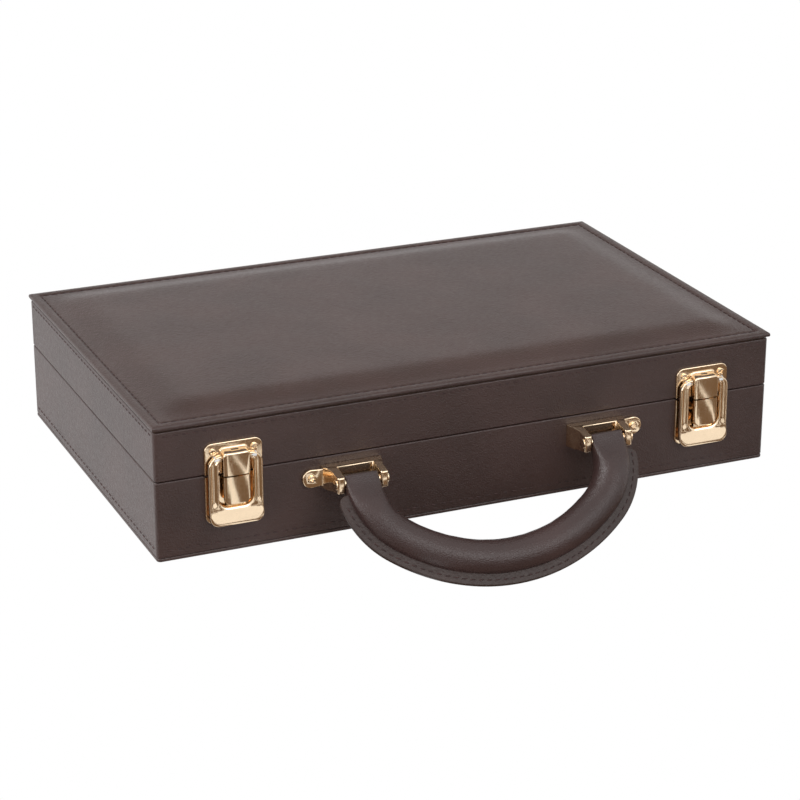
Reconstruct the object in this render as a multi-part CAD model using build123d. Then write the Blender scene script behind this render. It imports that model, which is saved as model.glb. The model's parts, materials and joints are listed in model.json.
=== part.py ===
from build123d import *
import os
from math import acos, copysign, cos, degrees, pi, radians, sin

# A leather-covered poker case for 300 chips, shut, standing on its base.
# Millimetres. X runs along the case, Y from its front (-Y) to its back, Z up from the base.

# Case and lid
case_length = 380.0
case_depth = 240.0
split_height = 47.0
rim_gap = 0.4
lid_wall_height = 28.6
leather = 1.2
board = 6.0
floor_board = 5.0
lining = 0.8
lining_drop = 0.6
base_panel_thickness = 2.2
corner_radius = 2.5
inside_corner = 1.0
edge_round = 0.8

# Padded panel on the lid
spacer_thickness = 1.0
spacer_inset = 1.6
panel_overhang = 0.7
panel_edge = 2.6
panel_border = 8.0
panel_slope = 26.0
panel_crown = 3.4
crown_steps = 6

# Chips, cards, dealer button and dice in the tray
chip_radius = 19.5
chip_thickness = 3.3
chips_per_roll = 25
rolls_per_row = 4
chip_rows = 3
row_pitch = 42.6
row_margin = 3.8
chip_clearance = 0.3
tray_clearance = 0.3
tray_height = 20.0
chip_rise = 1.3
card_length = 88.0
card_width = 63.0
deck_height = 18.0
card_corner = 3.0
button_radius = 20.0
button_height = 5.0
die_size = 16.0
die_round = 1.6
die_count = 5
die_gap = 0.3
well_clearance = 0.5
well_rim = 0.5
deck_margin = 16.7
card_row_y = 64.5
dice_row_y = 88.0
button_row_y = 50.0
finger_notch_radius = 11.0

# Screws
screw_shank_radius = 1.1
screw_shank_length = 5.0
screw_head_radius = 2.0
screw_head_height = 0.9
screw_head_slope = 0.4

# Back hinges
hinge_x = 110.0
hinge_width = 40.0
hinge_leaf_height = 14.0
hinge_leaf = 1.2
knuckle_radius = 2.4
knuckle_count = 5
knuckle_gap = 0.3
hinge_offset = 2.7
hinge_pin_radius = 1.2
hinge_running_clearance = 0.05
hinge_screw_x = 13.0
hinge_screw_drop = 9.0

# Latches on the front
latch_x = 145.3
latch_width = 33.4
latch_plate = 1.5
latch_top = 65.5
latch_bottom = 18.4
latch_seam_gap = 0.5
latch_corner = 4.5
keeper_screw_x = 12.1
keeper_screw_z = 60.5
base_screw_x = 11.0
base_screw_z = 24.0
keeper_width = 15.5
keeper_front = 7.8
keeper_top = 62.0
keeper_shoulder_z = 60.8
keeper_slot_out = 3.6
keeper_slot_length = 4.2
keeper_slot_width = 1.4
keeper_slot_depth = 0.7
keeper_corner = 2.2
keeper_round = 0.8
latch_pin_radius = 0.9
latch_pin_out = 3.9
latch_pin_z = 57.2
latch_eye_radius = 1.5
latch_running_clearance = 0.06
lever_width = 31.5
lever_top = 59.1
lever_bottom = 18.3
lever_knee_z = 27.5
lever_out_top = 5.4
lever_out_knee = 5.6
lever_out_tip = 7.7
lever_thickness = 2.2
lever_window_width = 19.8
lever_window_bottom = 28.6
lever_window_top = 55.5
lever_window_corner = 5.5
lever_horn_corner = 2.0
lever_top_corner = 7.0
lever_corner = 5.0
lever_groove_inset = 1.6
lever_groove_depth = 0.7
lever_groove_bottom = 30.5
tongue_width = 15.0
tongue_bottom = 30.7
tongue_front = 7.8
tongue_gap = 0.8
tongue_corner = 3.4
tongue_pocket_out = 5.0
tongue_pocket_bottom = 36.0
tongue_leaf = 0.9
tongue_leaf_width = 11.0
tongue_leaf_bottom = 21.5
catch_width = 10.0
catch_out = 4.4
catch_z = 41.0
catch_height = 4.0

# Carrying handle and its brackets
bracket_x = 76.0
pivot_out = 15.0
pivot_z = 35.5
grip_radius = 10.2
grip_tail = 3.8
grip_lead = 5.0
grip_reach = 56.6
grip_side_radius = 38.0
grip_end_height = 8.0
grip_end_squareness = 4.0
grip_points = 24
grip_round_steps = 8
grip_flat = 1.0
grip_full = 24.0
grip_steps = 6
handle_rest_angle = 51.0
welt_height = 5.7
welt_thickness = 3.2
welt_root = 1.5
welt_start = 7.0
welt_corner = 2.6
bush_radius = 2.6
bush_stand = 0.1
handle_pin_radius = 2.0
handle_running_clearance = 0.06
pin_head_radius = 3.5
pin_head_height = 1.3
bracket_plate = 6.3
bracket_height = 13.6
arm_height = 9.2
arm_out = 18.2
arm_thickness = 4.4
arm_base_thickness = 7.7
arm_straight_out = 10.0
arm_clearance = 0.5
arm_round = 1.2
ear_radius = 5.4
ear_x = 24.2
ear_thickness = 2.2
ear_screw_x = 24.2

case_rim = split_height - rim_gap / 2
lid_rim = split_height + rim_gap / 2
lid_top = lid_rim + lid_wall_height
case_wall_height = case_rim - base_panel_thickness
front = case_depth / 2
wall = leather + board + lining
tray_floor_z = base_panel_thickness + floor_board + lining
tray_top = tray_floor_z + tray_height
chip_axis_z = tray_top + chip_rise
row_length = rolls_per_row * chips_per_roll * chip_thickness


def front_plane(x, z, out=0.0):
    """A plane on the front face with its normal pointing away from the case."""
    return Plane(origin=(x, -front - out, z), x_dir=(1, 0, 0), z_dir=(0, -1, 0))


def back_plane(x, z, out=0.0):
    """A plane on the back face with its normal pointing away from the case."""
    return Plane(origin=(x, front + out, z), x_dir=(-1, 0, 0), z_dir=(0, 1, 0))


def side_plane(x=0.0):
    """A plane across the case whose x is the distance out from the front face and whose y is height."""
    return Plane(origin=(x, -front, 0), x_dir=(0, -1, 0), z_dir=(-1, 0, 0))


def block(inset, low, high, radius):
    """A rounded block, set in from the case's outline by the same amount all round."""
    outline = RectangleRounded(case_length - 2 * inset, case_depth - 2 * inset, radius)
    return Pos(0, 0, low) * extrude(outline, high - low)


def cross_pin(radius, length, x, y, z):
    """A round bar along X, centred at the point."""
    return Pos(x, y, z) * Rot(0, 90, 0) * Cylinder(radius, length)


def group(solids):
    return Compound(children=list(solids))


# Case and lid shells are made with their rim at z = 0 and the material below it.

def leather_wrap(height):
    """Leather round the outside of the walls, turned in over the rim."""
    wrap = block(0, -height, 0, corner_radius)
    wrap -= block(leather, -height, -leather, corner_radius - leather)
    wrap -= block(leather + board, -leather, 0, inside_corner)
    top = wrap.faces().sort_by(Axis.Z)[-1].outer_wire().edges()
    bottom = wrap.faces().sort_by(Axis.Z)[0].outer_wire().edges()
    return fillet(top + bottom, edge_round)


def board_shell(height):
    """The stiff box under the leather: a floor and four walls."""
    shell = block(leather, -height, -leather, corner_radius - leather)
    shell -= block(leather + board, floor_board - height, -leather, inside_corner)
    return shell


def cloth_lining(height):
    """Thin lining on the inside of the floor and walls."""
    low = floor_board - height
    cloth = block(leather + board, low, -lining_drop, inside_corner)
    cloth -= block(wall, low + lining, -lining_drop, inside_corner)
    return cloth


def on_case(part):
    return Pos(0, 0, case_rim) * part


def on_lid(part):
    return Pos(0, 0, lid_rim) * Rot(180, 0, 0) * part


def base_panel():
    panel = block(0, 0, base_panel_thickness, corner_radius)
    rims = panel.edges().group_by(Axis.Z)
    return fillet(rims[0] + rims[-1], edge_round)


def panel_spacer():
    """Thin board under the padded panel. It is set in, which makes the dark line under the panel."""
    return block(spacer_inset, lid_top, lid_top + spacer_thickness, inside_corner)


def crown_height(distance):
    """Height of the padding above its flat border at a distance in from the panel's edge."""
    share = min(max((distance - panel_border) / panel_slope, 0), 1)
    return panel_crown * (1 - cos(pi * share)) / 2


def top_panel():
    """Padded leather panel: a flat stitched border, then a soft slope up to the crown."""
    low = lid_top + spacer_thickness
    edge_top = low + panel_edge
    slab = block(-panel_overhang, low, edge_top, corner_radius)
    rims = slab.edges().group_by(Axis.Z)
    slab = fillet(rims[0] + rims[-1], edge_round)
    sections = []
    for step in range(crown_steps + 1):
        inset = panel_border + panel_slope * step / crown_steps
        outline = RectangleRounded(
            case_length - 2 * inset, case_depth - 2 * inset, corner_radius + inset / 2
        )
        sections.append(Pos(0, 0, edge_top + crown_height(inset)) * outline)
    return slab + loft(sections, ruled=True)


# Chip tray and what it holds

def row_y(row):
    """Centre of a row of chips. The first row is at the front."""
    first = -case_depth / 2 + wall + tray_clearance + row_margin + chip_radius + chip_clearance
    return first + row * row_pitch


deck_x = case_length / 2 - wall - tray_clearance - deck_margin - card_length / 2


def chip_tray():
    tray = block(wall + tray_clearance, tray_floor_z, tray_top, inside_corner)
    for row in range(chip_rows):
        channel = cross_pin(
            chip_radius + chip_clearance, row_length + 2 * well_clearance, 0, row_y(row), chip_axis_z
        )
        tray -= channel
    deck_floor = tray_top - deck_height - well_rim
    for side in (-1, 1):
        well = RectangleRounded(
            card_length + 2 * well_clearance, card_width + 2 * well_clearance, card_corner
        )
        notch = Pos(0, -card_width / 2) * Circle(finger_notch_radius)
        tray -= Pos(side * deck_x, card_row_y, deck_floor) * extrude(well + notch, deck_height + chip_radius)
    dice_well = Rectangle(dice_run() + 2 * well_clearance, die_size + 2 * well_clearance)
    tray -= Pos(0, dice_row_y, tray_top - die_size - well_rim) * extrude(dice_well, die_size + well_rim)
    button_well = Circle(button_radius + well_clearance)
    button_floor = tray_top - button_height - well_rim
    tray -= Pos(0, button_row_y, button_floor) * extrude(button_well, button_height + well_rim)
    return tray


def chip_roll(row, place):
    """One roll of chips, lying on its side in its channel."""
    length = chips_per_roll * chip_thickness
    x = -row_length / 2 + (place + 0.5) * length
    return cross_pin(chip_radius, length, x, row_y(row), chip_axis_z)


# Colour of each roll, row by row from the front, left to right.
roll_colours = (
    ("white", "white", "white", "black"),
    ("red", "red", "red", "black"),
    ("green", "green", "blue", "blue"),
)


def chips_of(colour):
    rolls = []
    for row, places in enumerate(roll_colours):
        for place, name in enumerate(places):
            if name == colour:
                rolls.append(chip_roll(row, place))
    return group(rolls)


def card_deck(side):
    deck = extrude(RectangleRounded(card_length, card_width, card_corner), deck_height)
    return Pos(side * deck_x, card_row_y, tray_top - deck_height - well_rim) * deck


def dealer_button():
    disc = extrude(Circle(button_radius), button_height)
    disc = chamfer(disc.edges().group_by(Axis.Z)[-1], edge_round)
    return Pos(0, button_row_y, tray_top - button_height - well_rim) * disc


def dice_run():
    return die_count * die_size + (die_count - 1) * die_gap


def dice():
    cubes = []
    for index in range(die_count):
        x = -dice_run() / 2 + die_size / 2 + index * (die_size + die_gap)
        cube = Pos(x, dice_row_y, tray_top - die_size / 2 - well_rim) * Box(die_size, die_size, die_size)
        cubes.append(chamfer(cube.edges(), die_round))
    return group(cubes)


# Screws

def screw():
    """A small screw whose head stands on z = 0 and whose shank runs down."""
    head = extrude(Circle(screw_head_radius), screw_head_height)
    head = chamfer(head.edges().group_by(Axis.Z)[-1], screw_head_slope)
    shank = extrude(Circle(screw_shank_radius), -screw_shank_length)
    return head + shank


def keeper_screws():
    spots = [(side * latch_x + turn * keeper_screw_x) for side in (-1, 1) for turn in (-1, 1)]
    return group(front_plane(x, keeper_screw_z, latch_plate) * screw() for x in spots)


def latch_base_screws():
    spots = [(side * latch_x + turn * base_screw_x) for side in (-1, 1) for turn in (-1, 1)]
    return group(front_plane(x, base_screw_z, latch_plate) * screw() for x in spots)


def bracket_screws():
    spots = [side * (bracket_x + ear_screw_x) for side in (-1, 1)]
    return group(front_plane(x, pivot_z, ear_thickness) * screw() for x in spots)


def hinge_screws(up):
    """Screws of the two leaves that lie above (up = 1) or below (up = -1) the hinge line."""
    z = split_height + up * hinge_screw_drop
    spots = [(side * hinge_x + turn * hinge_screw_x) for side in (-1, 1) for turn in (-1, 1)]
    return group(back_plane(x, z, hinge_leaf) * screw() for x in spots)


# Back hinges

hinge_y = front + hinge_offset


def hinge_leaf_part(x, up, knuckles):
    """One leaf with its own knuckles, cleared round the other leaf's knuckles."""
    low = knuckle_gap
    sketch = Pos(0, up * (low + hinge_leaf_height) / 2) * Rectangle(hinge_width, hinge_leaf_height - low)
    outer = sketch.vertices().sort_by(Axis.Y)
    corners = outer[-2:] if up > 0 else outer[:2]
    leaf = back_plane(x, split_height) * extrude(fillet(corners, inside_corner), hinge_leaf)
    pitch = hinge_width / knuckle_count
    for index in range(knuckle_count):
        centre = x - hinge_width / 2 + (index + 0.5) * pitch
        if index in knuckles:
            leaf += cross_pin(knuckle_radius, pitch - knuckle_gap, centre, hinge_y, split_height)
        else:
            leaf -= cross_pin(knuckle_radius + knuckle_gap, pitch + knuckle_gap, centre, hinge_y, split_height)
    bore = hinge_pin_radius + hinge_running_clearance
    leaf -= cross_pin(bore, hinge_width + 1, x, hinge_y, split_height)
    return leaf


def hinge_leaves(up, knuckles, screws):
    leaves = [hinge_leaf_part(side * hinge_x, up, knuckles) - screws for side in (-1, 1)]
    return group(leaves)


def hinge_pins():
    return group(
        cross_pin(hinge_pin_radius, hinge_width, side * hinge_x, hinge_y, split_height) for side in (-1, 1)
    )


# Latches

def latch_base_plate(x):
    """Lower plate on the case, with the low catch that the lever's tongue closes over."""
    top = case_rim - latch_seam_gap
    height = top - latch_bottom
    sketch = Pos(0, latch_bottom + height / 2) * Rectangle(latch_width, height)
    sketch = fillet(sketch.vertices().sort_by(Axis.Y)[:2], latch_corner)
    plate = front_plane(x, 0) * extrude(sketch, latch_plate)
    wedge = Polyline(
        (latch_plate, catch_z - catch_height),
        (catch_out, catch_z),
        (catch_out, catch_z + catch_height / 4),
        (latch_plate, catch_z + catch_height / 4),
        close=True,
    )
    return plate + side_plane(x) * extrude(make_face(wedge), catch_width / 2, both=True)


def keeper_profile():
    """Side outline of the keeper: a hood whose top slopes a little down from the plate to its front."""
    low = lid_rim + latch_seam_gap
    return make_face(
        Polyline(
            (0, low),
            (keeper_front, low),
            (keeper_front, keeper_shoulder_z),
            (0, keeper_top),
            close=True,
        )
    )


def latch_keeper(x):
    """Upper plate on the lid with the hood that carries the lever's pin."""
    low = lid_rim + latch_seam_gap
    height = latch_top - low
    sketch = Pos(0, low + height / 2) * Rectangle(latch_width, height)
    sketch = fillet(sketch.vertices().sort_by(Axis.Y)[2:], latch_corner)
    plate = front_plane(x, 0) * extrude(sketch, latch_plate)
    hood = side_plane(x) * extrude(keeper_profile(), keeper_width / 2, both=True)
    corners = Pos(0, (low + keeper_top) / 2) * Rectangle(keeper_width, keeper_top - low)
    corners = fillet(corners.vertices().sort_by(Axis.Y)[2:], keeper_corner)
    hood &= front_plane(x, 0) * extrude(corners, keeper_front)
    rim = hood.faces().sort_by(Axis.Y)[0].outer_wire().edges().sort_by(Axis.Z)[1:]
    hood = fillet(rim, keeper_round)
    keeper = plate + hood
    keeper -= cross_pin(latch_pin_radius, latch_width, x, -front - latch_pin_out, latch_pin_z)
    slope = (keeper_top - keeper_shoulder_z) / keeper_front
    slot = Box(keeper_slot_length, keeper_slot_width, 2 * keeper_slot_depth)
    slot = Pos(x, -front - keeper_slot_out, keeper_top - slope * keeper_slot_out) * slot
    return keeper - slot


def lever_side(shift):
    """Side outline of the pressed lever: leaning out to a knee, then flared out to the tip."""
    outer = [
        (lever_out_top + shift, lever_top),
        (lever_out_knee + shift, lever_knee_z),
        (lever_out_tip + shift, lever_bottom),
    ]
    inner = [(out - lever_thickness, z) for out, z in reversed(outer)]
    return make_face(Polyline(*outer, *inner, close=True))


def lever_window():
    """The lever's window. Above it a narrower notch leaves two horns that reach in to the hood."""
    height = lever_window_top - lever_window_bottom
    window = Pos(0, lever_window_bottom + height / 2) * Rectangle(lever_window_width, height)
    window = fillet(window.vertices().sort_by(Axis.Y)[:2], lever_window_corner)
    window = fillet(window.vertices().sort_by(Axis.Y)[-2:], lever_horn_corner)
    notch = Rectangle(keeper_width + 2 * arm_clearance, 2 * (lever_top - lever_window_top))
    return window + Pos(0, lever_top) * notch


def lever_outline(inset):
    height = lever_top - lever_bottom - 2 * inset
    middle = (lever_top + lever_bottom) / 2
    outline = Pos(0, middle) * Rectangle(lever_width - 2 * inset, height)
    corners = outline.vertices().sort_by(Axis.Y)
    outline = fillet(corners[:2], lever_corner)
    return fillet(outline.vertices().sort_by(Axis.Y)[-2:], lever_top_corner - inset)


def latch_lever(x):
    """Pressed lever: two grooved arms round a window, eyes on the pin, and a flared finger lip."""
    sheet = extrude(lever_side(0), lever_width / 2, both=True)
    outline = extrude(lever_outline(0) - lever_window(), lever_out_tip)
    lever = (side_plane(x) * sheet) & (front_plane(x, 0) * outline)
    groove_height = lever_top - lever_top_corner - lever_groove_bottom
    arm_width = (lever_width - lever_window_width) / 2 - 2 * lever_groove_inset
    arm_centre = (lever_width + lever_window_width) / 4
    grooves = Sketch()
    for turn in (-1, 1):
        middle = lever_groove_bottom + groove_height / 2
        grooves += Pos(turn * arm_centre, middle) * RectangleRounded(
            arm_width, groove_height, arm_width / 2.2
        )
    skin = side_plane(x) * extrude(lever_side(lever_thickness - lever_groove_depth), lever_width / 2, both=True)
    lever -= skin & (front_plane(x, 0) * extrude(grooves, 2 * lever_out_tip))
    eye_length = (lever_width - keeper_width) / 4
    eye_centre = keeper_width / 2 + arm_clearance + eye_length / 2
    y = -front - latch_pin_out
    for turn in (-1, 1):
        lever += cross_pin(latch_eye_radius, eye_length, x + turn * eye_centre, y, latch_pin_z)
    lever -= cross_pin(latch_pin_radius + latch_running_clearance, lever_width, x, y, latch_pin_z)
    return lever


def latch_pin(x):
    length = keeper_width + 2 * arm_clearance + (lever_width - keeper_width) / 2
    return cross_pin(latch_pin_radius, length, x, -front - latch_pin_out, latch_pin_z)


def latch_tongue(x):
    """Spring tongue in the lever's window, hollow over the catch, on a leaf behind the lever's lip."""
    top = lid_rim + latch_seam_gap - tongue_gap
    height = top - tongue_bottom
    face = Pos(0, tongue_bottom + height / 2) * Rectangle(tongue_width, height)
    face = fillet(face.vertices().sort_by(Axis.Y)[:2], tongue_corner)
    back = lever_out_knee - lever_thickness - tongue_leaf
    tongue = front_plane(x, 0, back) * extrude(face, tongue_front - back)
    rim = tongue.faces().sort_by(Axis.Y)[0].outer_wire().edges()
    tongue = fillet(rim, edge_round)
    pocket_height = top - tongue_pocket_bottom
    pocket = Pos(0, tongue_pocket_bottom + pocket_height / 2) * Rectangle(tongue_width, pocket_height)
    tongue -= front_plane(x, 0) * extrude(pocket, tongue_pocket_out)
    leaf_height = tongue_bottom + tongue_corner - tongue_leaf_bottom
    leaf = Pos(0, tongue_leaf_bottom + leaf_height / 2) * Rectangle(tongue_leaf_width, leaf_height)
    skin = side_plane(x) * extrude(lever_side(-tongue_leaf), lever_width / 2, both=True)
    behind = side_plane(x) * extrude(lever_side(0), lever_width / 2, both=True)
    strip = (front_plane(x, 0) * extrude(leaf, lever_out_tip)) & (skin - behind)
    return tongue + strip


# Carrying handle, made flat: X across, Y out from the pivot line. It is then turned down to where it hangs.

side_centre_x = bracket_x - grip_side_radius
grip_rise = grip_reach - grip_lead
middle_radius = (bracket_x**2 + grip_rise**2 - 2 * bracket_x * grip_side_radius) / (
    2 * (grip_rise - grip_side_radius)
)
middle_centre_y = grip_reach - middle_radius
middle_half_angle = degrees(acos((grip_lead - middle_centre_y) / (middle_radius - grip_side_radius)))


def grip_arch(offset):
    """The handle's three-arc arch, moved out by an offset: side arc, middle arc, side arc."""
    side_angle = 90 - middle_half_angle
    radius = grip_side_radius + offset
    right = CenterArc((side_centre_x, grip_lead), radius, 0, side_angle)
    middle = CenterArc((0, middle_centre_y), middle_radius + offset, side_angle, 2 * middle_half_angle)
    left = CenterArc((-side_centre_x, grip_lead), radius, 180 - side_angle, side_angle)
    return [right, middle, left]


def hang(part):
    """Turn the flat handle to where it hangs and set it on its pivot line."""
    return Pos(0, -front - pivot_out, pivot_z) * Rot(180 + handle_rest_angle, 0, 0) * part


grip_side_angle = radians(90 - middle_half_angle)
grip_half_length = grip_lead + grip_side_radius * grip_side_angle + middle_radius * radians(middle_half_angle)


def grip_outline(swell):
    """Outline of the grip: a flat block with soft corners at 0, a full round at 1."""
    half_height = grip_end_height / 2 + (grip_radius - grip_end_height / 2) * swell
    power = 2 / (grip_end_squareness + (2 - grip_end_squareness) * swell)
    points = []
    for index in range(grip_points):
        across, up = cos(2 * pi * index / grip_points), sin(2 * pi * index / grip_points)
        x = grip_radius * copysign(abs(across) ** power, across)
        y = half_height * copysign(abs(up) ** power, up)
        points.append((x, y))
    return make_face(Spline(points, periodic=True))


def grip_section(distance, side):
    """The grip's outline set square to the arch, at a distance from the pivot on one side."""
    if distance <= grip_lead:
        turn = 0
        x, y = bracket_x, distance
    elif distance <= grip_lead + grip_side_radius * grip_side_angle:
        turn = (distance - grip_lead) / grip_side_radius
        x = side_centre_x + grip_side_radius * cos(turn)
        y = grip_lead + grip_side_radius * sin(turn)
    else:
        turn = pi / 2 - (grip_half_length - distance) / middle_radius
        x, y = middle_radius * cos(turn), middle_centre_y + middle_radius * sin(turn)
    share = min(max((distance - grip_flat) / (grip_full - grip_flat), 0), 1)
    outward = (side * cos(turn), sin(turn), 0)
    along = (-sin(turn), side * cos(turn), 0)
    plane = Plane(origin=(side * x, y, 0), x_dir=outward, z_dir=along)
    return plane * grip_outline((1 - cos(pi * share)) / 2)


def grip_tube():
    """The whole grip, lofted along the arch: each end swells from a flat block to a round tube."""
    swell_step = (grip_full - grip_flat) / grip_steps
    round_step = (grip_half_length - grip_full) / grip_round_steps
    distances = [-grip_tail, grip_flat / 2]
    distances += [grip_flat + swell_step * index for index in range(1, grip_steps + 1)]
    distances += [grip_full + round_step * index for index in range(1, grip_round_steps + 1)]
    right = [grip_section(distance, 1) for distance in distances]
    left = [grip_section(distance, -1) for distance in reversed(distances[:-1])]
    return loft(right + left)


def bush_bores(radius, stand):
    length = 2 * (grip_radius + stand)
    return [cross_pin(radius, length, side * bracket_x, 0, 0) for side in (-1, 1)]


def handle_grip():
    grip = grip_tube()
    for bore in bush_bores(bush_radius, arm_clearance):
        grip -= bore
    return hang(grip)


def handle_bushes():
    bore = handle_pin_radius + handle_running_clearance
    sleeves = []
    for outer, inner in zip(bush_bores(bush_radius, bush_stand), bush_bores(bore, bush_stand)):
        sleeves.append(hang(outer - inner))
    return group(sleeves)


def arch_face(offset):
    """The area inside the arch, closed along the line where its arcs begin."""
    width = bracket_x + offset
    return make_face([*grip_arch(offset), Line((-width, grip_lead), (width, grip_lead))])


def handle_welt():
    """Stitched seam along the outside of the grip, rounded off before each bracket."""
    band = arch_face(grip_radius + welt_height) - arch_face(grip_radius - welt_root)
    band -= Pos(0, welt_start / 2) * Rectangle(4 * bracket_x, welt_start)
    tips = band.vertices().filter_by_position(Axis.Y, welt_start - 0.01, welt_start + 0.01)
    outer_tips = tips.sort_by(Axis.X)
    band = fillet([outer_tips[0], outer_tips[-1]], welt_corner)
    welt = extrude(band, welt_thickness / 2, both=True)
    return hang(welt - grip_tube())


def handle_bracket(side):
    """Bracket with two arms for the pin, and one screw ear on the side away from the middle."""
    inner = grip_radius + arm_clearance
    outer = inner + arm_thickness
    base = inner + arm_base_thickness
    profile = make_face(
        Polyline(
            (-base, 0),
            (-outer, arm_straight_out),
            (-outer, arm_out),
            (-inner, arm_out),
            (-inner, bracket_plate),
            (inner, bracket_plate),
            (inner, arm_out),
            (outer, arm_out),
            (outer, arm_straight_out),
            (base, 0),
            close=True,
        )
    )
    tips = profile.vertices().filter_by_position(Axis.Y, arm_out - 0.01, arm_out + 0.01)
    profile = fillet(tips, arm_round)
    x = side * bracket_x
    plane = Plane(origin=(x, -front, pivot_z), x_dir=(-1, 0, 0), z_dir=(0, 0, 1))
    body = plane * extrude(profile, bracket_height / 2, both=True)
    wedge = make_face(
        Polyline(
            (0, bracket_height / 2),
            (bracket_plate, bracket_height / 2),
            (arm_out, arm_height / 2),
            (arm_out, -arm_height / 2),
            (bracket_plate, -bracket_height / 2),
            (0, -bracket_height / 2),
            close=True,
        )
    )
    body &= side_plane(x) * Pos(0, pivot_z, 0) * extrude(wedge, base, both=True)
    ear_outline = make_hull(
        [
            *(Pos(side * ear_x, 0) * Circle(ear_radius)).edges(),
            *(Pos(side * outer, 0) * Rectangle(1, arm_height)).edges(),
        ]
    )
    body += front_plane(x, pivot_z) * extrude(ear_outline, ear_thickness)
    body -= cross_pin(handle_pin_radius, 4 * base, x, -front - pivot_out, pivot_z)
    return body


def handle_pins():
    """Round pins through the arms, each with a rounded head on both ends."""
    outer = grip_radius + arm_clearance + arm_thickness
    pins = []
    for side in (-1, 1):
        x = side * bracket_x
        pin = Cylinder(handle_pin_radius, 2 * outer)
        for turn in (-1, 1):
            head = Pos(0, 0, turn * (outer + pin_head_height / 2)) * Cylinder(pin_head_radius, pin_head_height)
            rim = head.edges().group_by(Axis.Z)[-1 if turn > 0 else 0]
            pin += chamfer(rim, pin_head_height * 0.5)
        pins.append(Pos(x, -front - pivot_out, pivot_z) * Rot(0, 90, 0) * pin)
    return group(pins)


# Every piece by name. Screw holes are cut with the screws themselves.

upper_hinge_screws = hinge_screws(1)
lower_hinge_screws = hinge_screws(-1)
keeper_fixings = keeper_screws()
base_fixings = latch_base_screws()
bracket_fixings = bracket_screws()
case_fixings = [base_fixings, bracket_fixings, lower_hinge_screws]
lid_fixings = [keeper_fixings, upper_hinge_screws]

lower_knuckles = (0, 2, 4)
upper_knuckles = (1, 3)


def drilled(part, fixings):
    for screws in fixings:
        part -= screws
    return part


pieces = {
    "case_shell": drilled(on_case(board_shell(case_wall_height)), case_fixings),
    "case_leather": drilled(on_case(leather_wrap(case_wall_height)), case_fixings),
    "case_lining": on_case(cloth_lining(case_wall_height)),
    "base_panel": base_panel(),
    "chip_tray": chip_tray(),
    "card_deck_left": card_deck(-1),
    "card_deck_right": card_deck(1),
    "dealer_button": dealer_button(),
    "dice": dice(),
    "lid_shell": drilled(on_lid(board_shell(lid_wall_height)), lid_fixings),
    "lid_leather": drilled(on_lid(leather_wrap(lid_wall_height)), lid_fixings),
    "lid_lining": on_lid(cloth_lining(lid_wall_height)),
    "panel_spacer": panel_spacer(),
    "top_panel": top_panel(),
    "hinge_leaves_lower": hinge_leaves(-1, lower_knuckles, lower_hinge_screws),
    "hinge_leaves_upper": hinge_leaves(1, upper_knuckles, upper_hinge_screws),
    "hinge_pins": hinge_pins(),
    "hinge_screws_lower": lower_hinge_screws,
    "hinge_screws_upper": upper_hinge_screws,
    "latch_keeper_screws": keeper_fixings,
    "latch_base_screws": base_fixings,
    "handle_bracket_screws": bracket_fixings,
    "handle_grip": handle_grip(),
    "handle_welt": handle_welt(),
    "handle_bushes": handle_bushes(),
    "handle_pins": handle_pins(),
}
for colour in ("white", "red", "green", "blue", "black"):
    pieces["chips_" + colour] = chips_of(colour)
for name, side in (("left", -1), ("right", 1)):
    x = side * latch_x
    pieces["latch_base_plate_" + name] = latch_base_plate(x) - base_fixings
    pieces["latch_keeper_" + name] = latch_keeper(x) - keeper_fixings
    pieces["latch_lever_" + name] = latch_lever(x)
    pieces["latch_tongue_" + name] = latch_tongue(x)
    pieces["latch_pin_" + name] = latch_pin(x)
    pieces["handle_bracket_" + name] = handle_bracket(side) - bracket_fixings

os.makedirs("parts", exist_ok=True)
for name, part in pieces.items():
    export_step(part, "parts/" + name + ".step")
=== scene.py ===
import json
import math

import bmesh
import bpy
from mathutils import Matrix, Vector

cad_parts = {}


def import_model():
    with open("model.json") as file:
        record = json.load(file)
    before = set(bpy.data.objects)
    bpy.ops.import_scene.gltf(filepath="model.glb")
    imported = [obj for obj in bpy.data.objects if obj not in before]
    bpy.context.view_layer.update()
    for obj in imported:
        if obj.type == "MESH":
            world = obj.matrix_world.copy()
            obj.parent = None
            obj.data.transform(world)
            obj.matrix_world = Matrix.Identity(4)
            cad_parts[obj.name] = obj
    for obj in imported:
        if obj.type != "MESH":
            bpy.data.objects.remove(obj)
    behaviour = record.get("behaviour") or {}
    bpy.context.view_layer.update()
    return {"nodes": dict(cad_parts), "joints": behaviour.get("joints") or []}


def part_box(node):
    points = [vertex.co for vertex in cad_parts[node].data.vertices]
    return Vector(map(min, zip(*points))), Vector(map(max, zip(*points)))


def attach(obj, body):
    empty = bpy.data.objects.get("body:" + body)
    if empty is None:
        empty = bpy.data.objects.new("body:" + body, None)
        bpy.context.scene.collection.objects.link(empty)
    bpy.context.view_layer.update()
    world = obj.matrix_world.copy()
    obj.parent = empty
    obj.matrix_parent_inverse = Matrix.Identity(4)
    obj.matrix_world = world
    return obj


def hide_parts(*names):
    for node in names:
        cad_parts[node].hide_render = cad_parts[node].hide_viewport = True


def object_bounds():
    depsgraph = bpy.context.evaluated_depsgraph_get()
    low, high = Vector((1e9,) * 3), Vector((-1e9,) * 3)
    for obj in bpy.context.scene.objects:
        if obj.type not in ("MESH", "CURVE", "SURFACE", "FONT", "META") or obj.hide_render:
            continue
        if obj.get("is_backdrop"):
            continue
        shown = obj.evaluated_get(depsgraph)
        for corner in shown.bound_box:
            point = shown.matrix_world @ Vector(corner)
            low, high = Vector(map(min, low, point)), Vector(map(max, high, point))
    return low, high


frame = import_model()

MM = 0.001
# In millimetres: the front and end walls from the case's middle, and the height of the seam
FRONT = 120.0
END_WALL = 190.0
SPLIT = 47.0

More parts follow.
